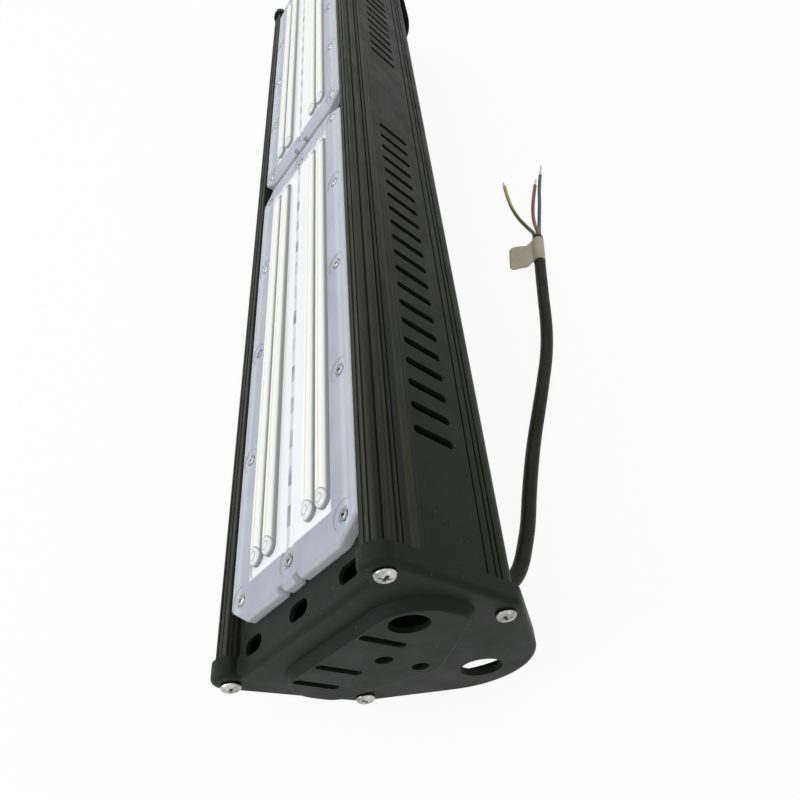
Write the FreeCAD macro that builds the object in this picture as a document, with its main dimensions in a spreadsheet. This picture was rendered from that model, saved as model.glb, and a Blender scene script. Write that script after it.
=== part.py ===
"""High bay light: a vented aluminium housing with two lens modules, dished end caps and a mains cord.

The section is drawn with x across the light, y along it and z from the lens face towards the back.
A common turn about y then lays the light on the sloped edges of its end caps, as it rests on a floor.
"""
import FreeCAD, Part
import math
import os

from FreeCAD import Placement, Rotation, Vector

SIZES = {
    # housing section
    "rail_half": 54.2,         # half width over the lens-side rails
    "rail_inner": 44.8,        # half width of the lens tray between the rails
    "rail_rise": 5.9,          # how far the rails stand in front of the tray
    "rail_round": 1.5,
    "back_half": 48.3,         # half width at the back wall
    "back_rise": 63.8,         # tray floor to back face
    "back_round": 8.0,
    "side_wall": 2.2,
    "back_wall": 2.5,
    "web_wall": 3.0,
    "web_step": 2.2,           # from the tray side of the rails to the cavity's side, just inside the web
    "rib_groove": 0.7,         # depth of the grooves along the section
    # screw ports of the section
    "port_front_x": 50.0,
    "port_back_x": 44.0,
    "port_back_z": 58.0,
    "port_bore": 4.2,
    "port_boss": 7.8,
    # side vents
    "vent_width": 4.0,
    "vent_low": 16.5,
    "vent_high": 38.0,
    "vent_pitch": 12.0,
    "vent_inset": 63.0,        # first vent from each end
    "vents_first": 20,
    "vents_second": 15,
    # end cap
    "cap_face": 3.0,
    "cap_depth": 8.0,
    "cap_wall": 1.8,
    "cap_gap": 0.8,            # between the skirt and the housing
    "cap_rim": 2.6,            # rounding round the rim
    "ear_gap": 0.5,            # between the ears and the front of the rails
    "ear_side_gap": 0.2,       # between the ears and the tray side of the rails
    "flange_reach": 13.6,      # lens-side flange, past the cap's inner face
    "flange_level": 1.0,       # its outer face, in front of the tray
    "flange_wall": 1.8,
    "tab_slope": 38.0,         # sloped edges, from the light's upright
    "tab_top": 105.0,
    "hang_bore": 18.0,
    "hang_rise": 85.5,
    "dome_rise": 4.0,          # raised middle of the cap
    "dome_wall": 2.2,
    "dome_slope": 2.2,         # how far its sides lean in over that rise
    "dome_half": 45.0,
    "dome_low": 11.5,
    "dome_shoulder": 44.0,
    "dome_high": 65.0,
    "dome_round": 20.0,
    "dome_edge": 1.2,
    "entry_bore": 15.0,
    "entry_x": -29.5,
    "entry_z": 24.8,
    "cap_slot_width": 4.0,
    "cap_slot_low": 15.0,
    "cap_slot_high": 35.0,
    "cap_slot_inner": 14.0,
    "cap_slot_outer": 29.5,
    "pilot_bore": 7.0,
    "pilot_low": 35.5,
    "pilot_high": 52.8,
    "oval_length": 12.0,
    "oval_width": 6.5,
    "oval_pitch": 32.0,
    "oval_place": 5.7,         # from the cap's inner face
    # cap screws
    "cap_screw_head": 9.5,
    "cap_screw_rise": 2.9,
    "cap_screw_shank": 4.1,
    "cap_screw_length": 16.0,
    "cap_screw_hole": 5.0,
    # lens modules
    "lens_margin": 17.0,       # from the outer end of each cap to the nearest lens
    "lens_gap": 9.0,           # between the two lenses
    "lens_length": 291.0,
    "lens_half": 44.0,
    "lens_seat": 0.2,          # underside of the lens frame, above the tray
    "lens_frame": 5.6,
    "lens_round": 2.2,         # rounding of its outer edge
    "lens_corner_x": 12.0,
    "lens_corner_y": 8.0,
    "notch_width": 3.6,
    "notch_depth": 2.6,
    "notch_offset": 5.5,
    "window_half": 29.0,
    "window_inset": 15.0,
    "window_sink": 0.7,        # the clear window lies this far below the frame
    "window_wall": 1.8,
    "window_corner": 3.0,
    "window_ledge": 0.4,       # the hollow under the window is this much smaller all round
    "rib_width": 8.0,
    "rib_rise": 2.8,
    "rib_inset": 19.0,
    "rib_inner_x": 14.5,
    "rib_outer_x": 24.0,
    # lens screws
    "lens_screw_x": 36.0,
    "lens_screw_inset": 10.0,
    "lens_screw_head": 4.8,
    "lens_screw_rise": 1.5,
    "lens_screw_land": 12.0,   # shallow round recess at each screw
    "lens_land_sink": 0.5,
    "lens_screw_shank": 2.6,
    "lens_screw_hole": 3.4,
    "lens_screw_pilot": 2.7,
    "lens_screw_sink": 1.2,
    # gasket and light engine
    "gasket_width": 2.4,
    "gasket_height": 1.8,
    "gasket_clear": 0.1,
    "gasket_corner": 4.0,
    "board_clear": 0.6,
    "board_inset": 1.6,        # from each end of the window to the board
    "board_corner": 2.0,
    "board_half": 28.4,
    "board_wall": 1.2,
    "chip_side": 3.0,
    "chip_rise": 0.7,
    "chip_pitch": 18.7,
    # driver
    "driver_length": 236.0,
    "strap_side_gap": 1.0,     # from the straps' feet to the side of the cavity
    "driver_height": 38.0,
    "driver_round": 3.0,
    "driver_start": 150.0,
    "strap_wall": 1.5,
    "strap_slack": 0.3,        # between the straps and the driver
    "strap_width": 18.0,
    "strap_foot": 9.0,
    "strap_inset": 30.0,
    "strap_screw_head": 7.0,
    "strap_screw_shank": 3.8,
    "strap_screw_hole": 4.4,
    # gland
    "gland_x": -2.0,
    "gland_y": 35.5,
    "gland_thread": 20.0,
    "gland_flats": 24.0,
    "gland_collar": 6.0,
    "gland_washer": 1.2,
    "gland_tail": 9.0,         # thread inside the back wall
    "gland_nut_height": 11.0,
    "gland_dome": 6.0,
    "gland_mouth": 10.0,
    "locknut_height": 4.0,
    # cord and its cores
    "cord_size": 8.0,
    "core_size": 2.8,
    "core_spread": 2.1,
    "tip_size": 1.8,
    "tip_length": 8.0,
    "label_width": 24.0,
    "label_reach": 21.0,
    "label_wall": 0.6,
    # inner leads
    "lead_size": 5.0,
    "lead_bend": 14.0,
    "grommet_hole": 9.0,
}
S = type("Sizes", (), dict(SIZES))
S.overall_length = 2.0 * (S.lens_margin + S.lens_length) + S.lens_gap
strap_room = S.strap_side_gap + S.strap_foot + S.strap_wall + S.strap_slack
S.driver_width = 2.0 * (S.rail_inner - S.web_step - strap_room)

document = FreeCAD.newDocument("high_bay_light")
sheet = document.addObject("Spreadsheet::Sheet", "sizes")
for row, (alias, value) in enumerate(SIZES.items(), start=1):
    sheet.set("A%d" % row, alias)
    sheet.set("B%d" % row, str(value))
    sheet.setAlias("B%d" % row, alias)
sheet.set("A%d" % (row + 1), "overall_length")
sheet.set("B%d" % (row + 1), "=2 * (lens_margin + lens_length) + lens_gap")
sheet.setAlias("B%d" % (row + 1), "overall_length")
document.recompute()

nodes = []

# ---------------------------------------------------------------- derived places

taper = (S.rail_half - S.back_half) / (S.back_rise + S.rail_rise)
slope = math.radians(S.tab_slope)
across, along = math.cos(slope), math.sin(slope)    # the sloped edge's outward normal, in x and z


def wall_x(level):
    """Half width over the side walls at a height above the tray."""
    return S.rail_half - taper * (level + S.rail_rise)


def corner_reach():
    """How far the housing's rounded back corner reaches along the sloped edge's normal."""
    lean = math.atan(taper)
    centre_z = S.back_rise - S.back_round
    centre_x = wall_x(centre_z) - S.back_round / math.cos(lean)
    return across * centre_x + along * centre_z + S.back_round


edge_reach = corner_reach() + S.cap_gap + S.cap_wall
tab_centre = (edge_reach - S.tab_top) / (along - 1.0)
tab_round = S.tab_top - tab_centre
ear_drop = S.rail_rise + S.ear_gap + S.cap_wall
ear_inner = S.rail_inner - S.ear_side_gap - S.cap_wall
ear_width = wall_x(-ear_drop) + S.cap_gap + S.cap_wall - ear_inner
far_end = S.overall_length


# ---------------------------------------------------------------- drawing helpers

def rounded(points):
    """Lines and arcs of a closed outline; each point is (x, y, corner radius)."""
    corners = []
    count = len(points)
    for index, (x, y, radius) in enumerate(points):
        here = Vector(x, y, 0)
        back = Vector(*points[index - 1][:2], 0) - here
        ahead = Vector(*points[(index + 1) % count][:2], 0) - here
        back.normalize()
        ahead.normalize()
        half = back.getAngle(ahead) / 2.0
        if radius <= 0 or abs(half - math.pi / 2.0) < 1e-6:
            corners.append((here, None, here))
            continue
        run = radius / math.tan(half)
        middle = (back + ahead).normalize() * (radius / math.sin(half) - radius)
        corners.append((here + back * run, here + middle, here + ahead * run))
    curves = []
    for index, (start, middle, end) in enumerate(corners):
        if middle is not None:
            curves.append(Part.Arc(start, middle, end))
        following = corners[(index + 1) % count][0]
        if (following - end).Length > 1e-6:
            curves.append(Part.LineSegment(end, following))
    return curves


def mirrored_outline(right):
    """A closed outline from its right half, listed from the lens side round to the back."""
    left = [(-x, y, radius) for x, y, radius in reversed(right) if x > 1e-9]
    return rounded(right + left)


def slot_curves(x_one, y_one, x_two, y_two, width):
    """A round-ended slot between two centres."""
    one, two = Vector(x_one, y_one, 0), Vector(x_two, y_two, 0)
    way = (two - one).normalize()
    side = Vector(-way.y, way.x, 0) * (width / 2.0)
    tip = way * (width / 2.0)
    return [
        Part.LineSegment(one - side, two - side),
        Part.Arc(two - side, two + tip, two + side),
        Part.LineSegment(two + side, one + side),
        Part.Arc(one + side, one - tip, one - side),
    ]


def circle(x, y, diameter):
    return Part.Circle(Vector(x, y, 0), Vector(0, 0, 1), diameter / 2.0)


def new_body(label):
    body = document.addObject("PartDesign::Body", label)
    body.Label = label
    nodes.append(body)
    return body


def draw(body, plane, curves, offset="0"):
    """A sketch on one of the body's origin planes, moved along its normal by an expression."""
    sketch = body.newObject("Sketcher::SketchObject", "sketch")
    support = [item for item in body.Origin.OriginFeatures if item.Role == plane][0]
    sketch.AttachmentSupport = [(support, "")]
    sketch.MapMode = "FlatFace"
    sketch.setExpression("AttachmentOffset.Base.z", offset)
    sketch.addGeometry(curves, False)
    return sketch


def feature(body, kind, sketch, length, reverse=False, both=False):
    """A pad or pocket of a sketch, its length bound to the sheet."""
    item = body.newObject("PartDesign::" + kind, kind.lower())
    item.Profile = sketch
    item.setExpression("Length", length)
    item.Reversed = reverse
    item.Midplane = both
    sketch.Visibility = False
    document.recompute()
    return item


def group(label, solids):
    """Separate solids that share one node."""
    item = document.addObject("Part::Feature", label)
    item.Label = label
    item.Shape = Part.makeCompound(solids) if len(solids) > 1 else solids[0]
    nodes.append(item)
    return item


def revolved(profile, base, axis):
    """A solid turned from (radius, height) points, stood at a base point along an axis."""
    points = [Vector(radius, 0, height) for radius, height in profile]
    face = Part.Face(Part.makePolygon(points + points[:1]))
    solid = face.revolve(Vector(0, 0, 0), Vector(0, 0, 1), 360)
    solid.Placement = Placement(base, Rotation(Vector(0, 0, 1), axis))
    return solid


def pan_screw(base, axis, head, rise, shank, length):
    """A pan-head screw whose head seats at base and whose shank runs against axis."""
    dome = [(head / 2.0, 0), (head / 2.0, rise * 0.5), (head * 0.36, rise)]
    return revolved([(0, -length), (shank / 2.0, -length), (shank / 2.0, 0)] + dome + [(0, rise)], base, axis)


def arc_path(points):
    """Straight runs joined by tangent arcs of 0.45 of the shorter run; also the radii."""
    edges, radii, start = [], [], points[0]
    for before, here, after in zip(points, points[1:], points[2:]):
        back, ahead = before - here, after - here
        reach = 0.45 * min(back.Length, ahead.Length)
        back.normalize()
        ahead.normalize()
        half = back.getAngle(ahead) / 2.0
        radius = reach * math.tan(half)
        middle = here + (back + ahead).normalize() * (radius / math.sin(half) - radius)
        edges.append(Part.LineSegment(start, here + back * reach).toShape())
        edges.append(Part.Arc(here + back * reach, middle, here + ahead * reach).toShape())
        radii.append(radius)
        start = here + ahead * reach
    edges.append(Part.LineSegment(start, points[-1]).toShape())
    return Part.Wire(edges), radii


def tube(points, size):
    """A round solid along a path of runs and arcs."""
    path, radii = arc_path(points)
    ring = Part.Wire(Part.makeCircle(size / 2.0, points[0], points[1] - points[0]))
    solid = path.makePipeShell([ring], True, False)
    section = math.pi * size * size / 4.0
    print("tube %.0f mm, radii %s, volume ratio %.4f" % (
        path.Length, " ".join("%.0f" % radius for radius in radii), solid.Volume / (section * path.Length)))
    return solid


# ---------------------------------------------------------------- housing

def grooved(start, end, grooves):
    """Points from start to end with square grooves cut to the left; each groove is (place, width)."""
    one, two = Vector(*start, 0), Vector(*end, 0)
    way = (two - one).normalize()
    inward = Vector(-way.y, way.x, 0) * S.rib_groove
    points = []
    for place, width in grooves:
        low, high = one + way * (place - width / 2.0), one + way * (place + width / 2.0)
        points += [low, low + inward, high + inward, high]
    return [(point.x, point.y, 0) for point in points]


def housing_outline():
    front = -S.rail_rise
    right = [(S.rail_inner, 0, 0.6), (S.rail_inner, front, 0.5)]
    right += grooved((S.rail_inner, front), (S.rail_half, front), [(3.2, 1.0), (6.3, 1.0)])
    right += [(S.rail_half, front, S.rail_round)]
    right += grooved((wall_x(front), front), (wall_x(S.back_rise), S.back_rise),
                     [(3.0, 1.3), (9.2, 1.1), (11.7, 0.8), (52.4, 1.0), (57.0, 1.0), (60.0, 1.0)])
    right += [(wall_x(S.back_rise), S.back_rise, S.back_round)]
    return mirrored_outline(right)


def cavity_outline():
    shelf = S.port_bore / 2.0 + 3.4
    top = S.back_rise - S.back_wall
    right = [
        (S.rail_inner - S.web_step, S.web_wall, 1.0),
        (S.rail_inner, shelf, 1.0),
        (wall_x(shelf) - S.side_wall, shelf, 1.0),
        (wall_x(top) - S.side_wall, top, S.back_round - S.side_wall),
    ]
    return mirrored_outline(right)


def lens_screw_places(start):
    """Screw places of one lens module: five pairs along the sides and one at each end."""
    step = (S.lens_length - 2.0 * S.lens_screw_inset) / 4.0
    rows = [start + S.lens_screw_inset + step * index for index in range(5)]
    sides = [(side * S.lens_screw_x, row) for row in rows for side in (-1, 1)]
    return sides + [(0.0, rows[0]), (0.0, rows[-1])]


modules = {"near": S.lens_margin, "far": S.lens_margin + S.lens_length + S.lens_gap}
strap_places = [S.driver_start + S.strap_inset, S.driver_start + S.driver_length - S.strap_inset]
strap_screw_x = S.driver_width / 2.0 + S.strap_wall + S.strap_foot / 2.0 + 0.5
lead_places = {
    "near": (18.0, S.driver_start - 32.0),
    "far": (12.0, S.driver_start + S.driver_length + 32.0),
}


def make_housing():
    body = new_body("housing")
    length = "sizes.overall_length - 2 * sizes.cap_face"
    start = "-sizes.cap_face"
    feature(body, "Pad", draw(body, "XZ_Plane", housing_outline(), start), length, reverse=True)
    feature(body, "Pocket", draw(body, "XZ_Plane", cavity_outline(), start), length)
    bosses = [circle(side * S.port_back_x, S.port_back_z, S.port_boss) for side in (-1, 1)]
    feature(body, "Pad", draw(body, "XZ_Plane", bosses, start), length, reverse=True)
    ports = [circle(side * S.port_back_x, S.port_back_z, S.port_bore) for side in (-1, 1)]
    ports += [circle(side * S.port_front_x, 0, S.port_bore) for side in (-1, 1)]
    feature(body, "Pocket", draw(body, "XZ_Plane", ports, start), length)

    # the web stops short of the caps, so that the flange's ovals open into the cavity
    half, deep = S.rail_inner, S.web_wall + 0.5
    gap = rounded([(-half, -0.5, 0), (half, -0.5, 0), (half, deep, 0), (-half, deep, 0)])
    reach = "sizes.flange_reach + 0.6"
    feature(body, "Pocket", draw(body, "XZ_Plane", gap, start), reach)
    far_start = "sizes.cap_face - sizes.overall_length"
    feature(body, "Pocket", draw(body, "XZ_Plane", gap, far_start), reach, reverse=True)

    # side vents, cut through both walls at once
    radius = S.vent_width / 2.0
    second = S.overall_length - S.vent_inset - S.vent_pitch * (S.vents_second - 1)
    for first, count in ((S.vent_inset, "vents_first"), (second, "vents_second")):
        slot = slot_curves(first, S.vent_low + radius, first, S.vent_high - radius, S.vent_width)
        sketch = draw(body, "YZ_Plane", slot)
        cut = feature(body, "Pocket", sketch, "2 * sizes.rail_half + 10", both=True)
        pattern = body.newObject("PartDesign::LinearPattern", "vents")
        pattern.Originals = [cut]
        pattern.Direction = (sketch, ["H_Axis"])
        pattern.setExpression("Length", "sizes.vent_pitch * (sizes.%s - 1)" % count)
        pattern.setExpression("Occurrences", "sizes.%s" % count)
        body.Tip = pattern
        document.recompute()

    # holes for the lens screws and leads in the web, and for the straps inside it
    pilots = []
    for lens_start in modules.values():
        pilots += [circle(x, y, S.lens_screw_pilot) for x, y in lens_screw_places(lens_start)]
    pilots += [circle(x, y, S.grommet_hole) for x, y in lead_places.values()]
    feature(body, "Pocket", draw(body, "XY_Plane", pilots), "sizes.web_wall + 1", reverse=True)
    tap_size = S.strap_screw_shank + 0.1
    taps = [circle(side * strap_screw_x, y, tap_size) for y in strap_places for side in (-1, 1)]
    feature(body, "Pocket", draw(body, "XY_Plane", taps, "sizes.web_wall"), "sizes.web_wall - 0.4")
    inlet = [circle(S.gland_x, S.gland_y, S.gland_thread + 0.4)]
    feature(body, "Pocket", draw(body, "XY_Plane", inlet, "sizes.back_rise"), "sizes.back_wall + 0.5")
    return body


# ---------------------------------------------------------------- end caps

def cap_outline(inset, ear_round, ear_bend):
    """The cap's outline, drawn smaller by inset, with the ears' outer and inner roundings."""
    skirt = S.cap_gap + S.cap_wall - inset
    low = -ear_drop + inset
    level = -S.flange_level + inset
    reach = edge_reach - inset
    # where the side edge meets the sloped edge
    shoulder_z = (reach - across * (wall_x(0.0) + skirt)) / (along - across * taper)
    right = [
        (ear_inner + inset, level, 1.2),
        (ear_inner + inset, low, ear_bend),
        (wall_x(-ear_drop) + skirt, low, ear_round),
        (wall_x(shoulder_z) + skirt, shoulder_z, S.back_round + S.cap_gap + S.cap_wall - inset),
        (0.0, reach / along, tab_round - inset),
    ]
    return mirrored_outline(right)


def dome_outline(inset):
    """The raised middle's outline, drawn smaller by inset."""
    lean = inset * math.hypot(1.0, (S.dome_high - S.dome_shoulder) / S.dome_half)
    right = [
        (S.dome_half - inset, S.dome_low + inset, S.dome_round - inset),
        (S.dome_half - inset, S.dome_shoulder - 0.4 * inset, S.dome_round * 0.5 - 0.5 * inset),
        (0.0, S.dome_high - lean, S.dome_round * 0.7 - 0.5 * inset),
    ]
    return mirrored_outline(right)


def edges_at(shape, test):
    return ["Edge%d" % (index + 1) for index, edge in enumerate(shape.Edges) if test(edge)]


def make_cap(label):
    body = new_body(label)
    outline = cap_outline(0.0, ear_width / 2.0 - 0.05, ear_drop - S.flange_level - 2.2)
    pad = feature(body, "Pad", draw(body, "XZ_Plane", outline), "sizes.cap_depth", reverse=True)
    rim = body.newObject("PartDesign::Fillet", "rim")
    rim.Base = (pad, edges_at(pad.Shape, lambda edge: edge.BoundBox.YMax < 1e-4))
    rim.setExpression("Radius", "sizes.cap_rim")
    document.recompute()
    inside = cap_outline(S.cap_wall, S.rail_round + 1.7, 1.2)
    feature(body, "Pocket", draw(body, "XZ_Plane", inside, "-sizes.cap_face"), "sizes.cap_depth")

    # the raised middle: sides that lean in, a rounded edge and a hollow behind it
    foot = draw(body, "XZ_Plane", dome_outline(0.0))
    crown = draw(body, "XZ_Plane", dome_outline(S.dome_slope), "sizes.dome_rise")
    dome = body.newObject("PartDesign::AdditiveLoft", "dome")
    dome.Profile = foot
    dome.Sections = [crown]
    document.recompute()
    edge = body.newObject("PartDesign::Fillet", "dome_edge")
    edge.Base = (dome, edges_at(dome.Shape, lambda item: item.BoundBox.YMax < 1e-4 - S.dome_rise))
    edge.setExpression("Radius", "sizes.dome_edge")
    document.recompute()
    back = "sizes.dome_rise - sizes.dome_wall"
    hollow = draw(body, "XZ_Plane", dome_outline(S.dome_slope + S.dome_wall), back)
    feature(body, "Pocket", hollow, back + " + sizes.cap_depth")

    # the lens-side flange, with its three ovals
    half = ear_inner - 0.2
    low, high = -S.flange_level, S.flange_wall - S.flange_level
    strip = rounded([(-half, low, 0), (half, low, 0), (half, high, 0), (-half, high, 0)])
    feature(body, "Pad", draw(body, "XZ_Plane", strip, "-sizes.cap_face"), "sizes.flange_reach", reverse=True)
    middle = S.cap_face + S.oval_place
    run = (S.oval_length - S.oval_width) / 2.0
    ovals = []
    for step in (-1, 0, 1):
        centre = step * S.oval_pitch
        ovals += slot_curves(centre - run, middle, centre + run, middle, S.oval_width)
    feature(body, "Pocket", draw(body, "XY_Plane", ovals), "sizes.flange_wall * 4", both=True)

    holes = [circle(0, S.hang_rise, S.hang_bore), circle(S.entry_x, S.entry_z, S.entry_bore)]
    holes += [circle(0, level, S.pilot_bore) for level in (S.pilot_low, S.pilot_high)]
    holes += [circle(side * S.port_front_x, 0, S.cap_screw_hole) for side in (-1, 1)]
    holes += [circle(side * S.port_back_x, S.port_back_z, S.cap_screw_hole) for side in (-1, 1)]
    radius = S.cap_slot_width / 2.0
    for x in (-S.cap_slot_inner, S.cap_slot_inner, S.cap_slot_outer):
        holes += slot_curves(x, S.cap_slot_low + radius, x, S.cap_slot_high - radius, S.cap_slot_width)
    through = draw(body, "XZ_Plane", holes, "sizes.dome_rise + 1")
    feature(body, "Pocket", through, "sizes.dome_rise + sizes.cap_depth + 1")
    return body


def make_cap_screws():
    solids = []
    for base_y, way in ((0.0, -1), (far_end, 1)):
        for side in (-1, 1):
            for x, z in ((S.port_front_x, 0.0), (S.port_back_x, S.port_back_z)):
                solids.append(pan_screw(Vector(side * x, base_y, z), Vector(0, way, 0), S.cap_screw_head,
                                        S.cap_screw_rise, S.cap_screw_shank, S.cap_screw_length))
    return group("cap_screws", solids)


# ---------------------------------------------------------------- lens modules

def lens_outline(start):
    end = start + S.lens_length
    half, cx, cy = S.lens_half, S.lens_corner_x, S.lens_corner_y
    right = [(half - cx, start, 1.5), (half, start + cy, 1.5), (half, end - cy, 1.5), (half - cx, end, 1.5)]
    return mirrored_outline(right)


def notch_curves(start):
    """Two notches in each end edge of a lens, either side of a short tab."""
    curves = []
    for edge, way in ((start, 1), (start + S.lens_length, -1)):
        for side in (-1, 1):
            one = side * (S.notch_offset - S.notch_width / 2.0)
            two = side * (S.notch_offset + S.notch_width / 2.0)
            deep, out = edge + way * S.notch_depth, edge - way
            curves += rounded([(one, out, 0), (two, out, 0), (two, deep, 0), (one, deep, 0)])
    return curves


def box_outline(half, start, end, radius):
    return rounded([(half, start, radius), (half, end, radius), (-half, end, radius), (-half, start, radius)])


def gasket_reach(which):
    """The gasket's half width and its two ends."""
    inner = S.board_half + S.board_clear
    beyond = inner + S.gasket_width - S.window_half - 1.0
    return (inner + S.gasket_width, modules[which] + S.window_inset - beyond,
            modules[which] + S.lens_length - S.window_inset + beyond)


def make_lens(which):
    start = modules[which]
    end = start + S.lens_length
    body = new_body("lens_" + which)
    frame = feature(body, "Pad", draw(body, "XY_Plane", lens_outline(start), "-sizes.lens_seat"),
                    "sizes.lens_frame", reverse=True)
    top = -S.lens_seat - S.lens_frame
    rim = body.newObject("PartDesign::Fillet", "rim")
    rim.Base = (frame, edges_at(frame.Shape, lambda edge: edge.BoundBox.ZMax < top + 1e-4))
    rim.setExpression("Radius", "sizes.lens_round")
    document.recompute()
    feature(body, "Pocket", draw(body, "XY_Plane", notch_curves(start)), "sizes.lens_frame * 4", both=True)
    inset = S.window_inset
    outline = box_outline(S.window_half, start + inset, end - inset, S.window_corner)
    window = draw(body, "XY_Plane", outline, "-sizes.lens_seat - sizes.lens_frame")
    feature(body, "Pocket", window, "sizes.window_sink", reverse=True)
    inset += S.window_ledge
    half, corner = S.window_half - S.window_ledge, S.window_corner - S.window_ledge
    outline = box_outline(half, start + inset, end - inset, corner)
    hollow = draw(body, "XY_Plane", outline, "-sizes.lens_seat")
    feature(body, "Pocket", hollow, "sizes.lens_frame - sizes.window_sink - sizes.window_wall")
    reach, low, high = gasket_reach(which)
    clear = S.gasket_clear
    outline = box_outline(reach + clear, low - clear, high + clear, S.gasket_corner)
    rebate = draw(body, "XY_Plane", outline, "-sizes.lens_seat")
    feature(body, "Pocket", rebate, "sizes.gasket_height - sizes.lens_seat")
    ribs = []
    for x in (-S.rib_outer_x, -S.rib_inner_x, S.rib_inner_x, S.rib_outer_x):
        reach = S.rib_inset + S.rib_width / 2.0
        ribs += slot_curves(x, start + reach, x, end - reach, S.rib_width)
    floor = "sizes.window_sink - sizes.lens_seat - sizes.lens_frame"
    bars = feature(body, "Pad", draw(body, "XY_Plane", ribs, floor), "sizes.rib_rise", reverse=True)
    crown = body.newObject("PartDesign::Fillet", "rib_crown")
    peak = top + S.window_sink - S.rib_rise
    crown.Base = (bars, edges_at(bars.Shape, lambda edge: edge.BoundBox.ZMax < peak + 1e-4))
    crown.setExpression("Radius", "sizes.rib_rise - 0.2")
    document.recompute()
    for size, depth in ((S.lens_screw_land, "lens_land_sink"), (S.lens_screw_head + 1.2, "lens_screw_sink")):
        sinks = [circle(x, y, size) for x, y in lens_screw_places(start)]
        feature(body, "Pocket", draw(body, "XY_Plane", sinks, "-sizes.lens_seat - sizes.lens_frame - 3"),
                "sizes." + depth + " + 3", reverse=True)
    holes = [circle(x, y, S.lens_screw_hole) for x, y in lens_screw_places(start)]
    feature(body, "Pocket", draw(body, "XY_Plane", holes), "sizes.lens_frame * 4", both=True)
    return body


def make_gasket(which):
    reach, start, end = gasket_reach(which)
    wide = S.gasket_width
    body = new_body("lens_gasket_" + which)
    ring = box_outline(reach, start, end, S.gasket_corner)
    ring += box_outline(reach - wide, start + wide, end - wide, S.gasket_corner / 2.0)
    feature(body, "Pad", draw(body, "XY_Plane", ring), "sizes.gasket_height", reverse=True)
    return body


def make_board(which):
    start = modules[which] + S.window_inset + S.board_inset
    end = modules[which] + S.lens_length - S.window_inset - S.board_inset
    body = new_body("led_board_" + which)
    outline = draw(body, "XY_Plane", box_outline(S.board_half, start, end, S.board_corner))
    feature(body, "Pad", outline, "sizes.board_wall", reverse=True)
    return body


def make_chips(which):
    start = modules[which]
    middle = start + S.lens_length / 2.0
    count = int((S.lens_length - 2.0 * S.rib_inset - 8.0) / S.chip_pitch) + 1
    solids = []
    for x in (-S.rib_outer_x, -S.rib_inner_x, S.rib_inner_x, S.rib_outer_x):
        for index in range(count):
            y = middle + (index - (count - 1) / 2.0) * S.chip_pitch
            corner = Vector(x - S.chip_side / 2.0, y - S.chip_side / 2.0, -S.board_wall - S.chip_rise)
            solids.append(Part.makeBox(S.chip_side, S.chip_side, S.chip_rise, corner))
    return group("led_chips_" + which, solids)


def make_lens_screws():
    base_z = -S.lens_seat - S.lens_frame + S.lens_screw_sink
    length = -base_z + S.web_wall * 0.8
    solids = []
    for start in modules.values():
        for x, y in lens_screw_places(start):
            solids.append(pan_screw(Vector(x, y, base_z), Vector(0, 0, -1), S.lens_screw_head,
                                    S.lens_screw_rise, S.lens_screw_shank, length))
    return group("lens_screws", solids)


# ---------------------------------------------------------------- driver and inner leads

def make_driver():
    body = new_body("driver")
    half, low = S.driver_width / 2.0, S.web_wall
    high = low + S.driver_height
    section = rounded([(half, low, S.driver_round), (half, high, S.driver_round),
                       (-half, high, S.driver_round), (-half, low, S.driver_round)])
    case = draw(body, "XZ_Plane", section, "-sizes.driver_start")
    feature(body, "Pad", case, "sizes.driver_length", reverse=True)
    return body


def make_straps():
    half = S.driver_width / 2.0 + S.strap_slack
    low, high = S.web_wall, S.web_wall + S.driver_height + S.strap_slack
    wall, foot = S.strap_wall, S.strap_foot
    outline = rounded([
        (half, low, 0), (half, high, 1.2), (-half, high, 1.2), (-half, low, 0),
        (-half - wall - foot, low, 0), (-half - wall - foot, low + wall, 0), (-half - wall, low + wall, 0.6),
        (-half - wall, high + wall, 2.2), (half + wall, high + wall, 2.2), (half + wall, low + wall, 0.6),
        (half + wall + foot, low + wall, 0), (half + wall + foot, low, 0),
    ])
    for name, place in zip(("near", "far"), strap_places):
        body = new_body("driver_strap_" + name)
        offset = "-sizes.driver_start - %s + sizes.strap_width / 2" % (
            "sizes.strap_inset" if name == "near" else "sizes.driver_length + sizes.strap_inset")
        feature(body, "Pad", draw(body, "XZ_Plane", outline, offset), "sizes.strap_width", reverse=True)
        holes = [circle(side * strap_screw_x, place, S.strap_screw_hole) for side in (-1, 1)]
        feature(body, "Pocket", draw(body, "XY_Plane", holes), "sizes.web_wall * 4", both=True)
    base = S.web_wall + S.strap_wall
    length = S.strap_wall + S.web_wall - 0.6
    group("driver_screws", [
        pan_screw(Vector(side * strap_screw_x, place, base), Vector(0, 0, 1), S.strap_screw_head, 2.4,
                  S.strap_screw_shank, length)
        for place in strap_places for side in (-1, 1)])


def make_leads():
    inner = S.lead_size / 2.0 + 0.1
    hole = S.grommet_hole / 2.0 - 0.05
    ends = {"near": S.driver_start, "far": S.driver_start + S.driver_length}
    for name, (x, y) in lead_places.items():
        level = S.web_wall + 0.5 * S.driver_height
        group("led_lead_" + name, [tube([Vector(x, ends[name], level), Vector(x, y, level), Vector(x, y, 0)],
                                        S.lead_size)])
        collar = hole + 1.6
        group("lead_grommet_" + name, [revolved(
            [(inner, 0), (hole, 0), (hole, S.web_wall), (collar, S.web_wall), (collar, S.web_wall + 1.2),
             (inner, S.web_wall + 1.2)], Vector(x, y, 0), Vector(0, 0, 1))])
    top = S.back_rise - S.back_wall - S.gland_tail
    level = S.web_wall + 0.5 * S.driver_height
    group("inlet_lead", [tube([Vector(S.gland_x, S.gland_y, top), Vector(S.gland_x, S.gland_y, level),
                               Vector(S.gland_x, S.driver_start, level)], S.cord_size)])


# ---------------------------------------------------------------- gland

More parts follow.
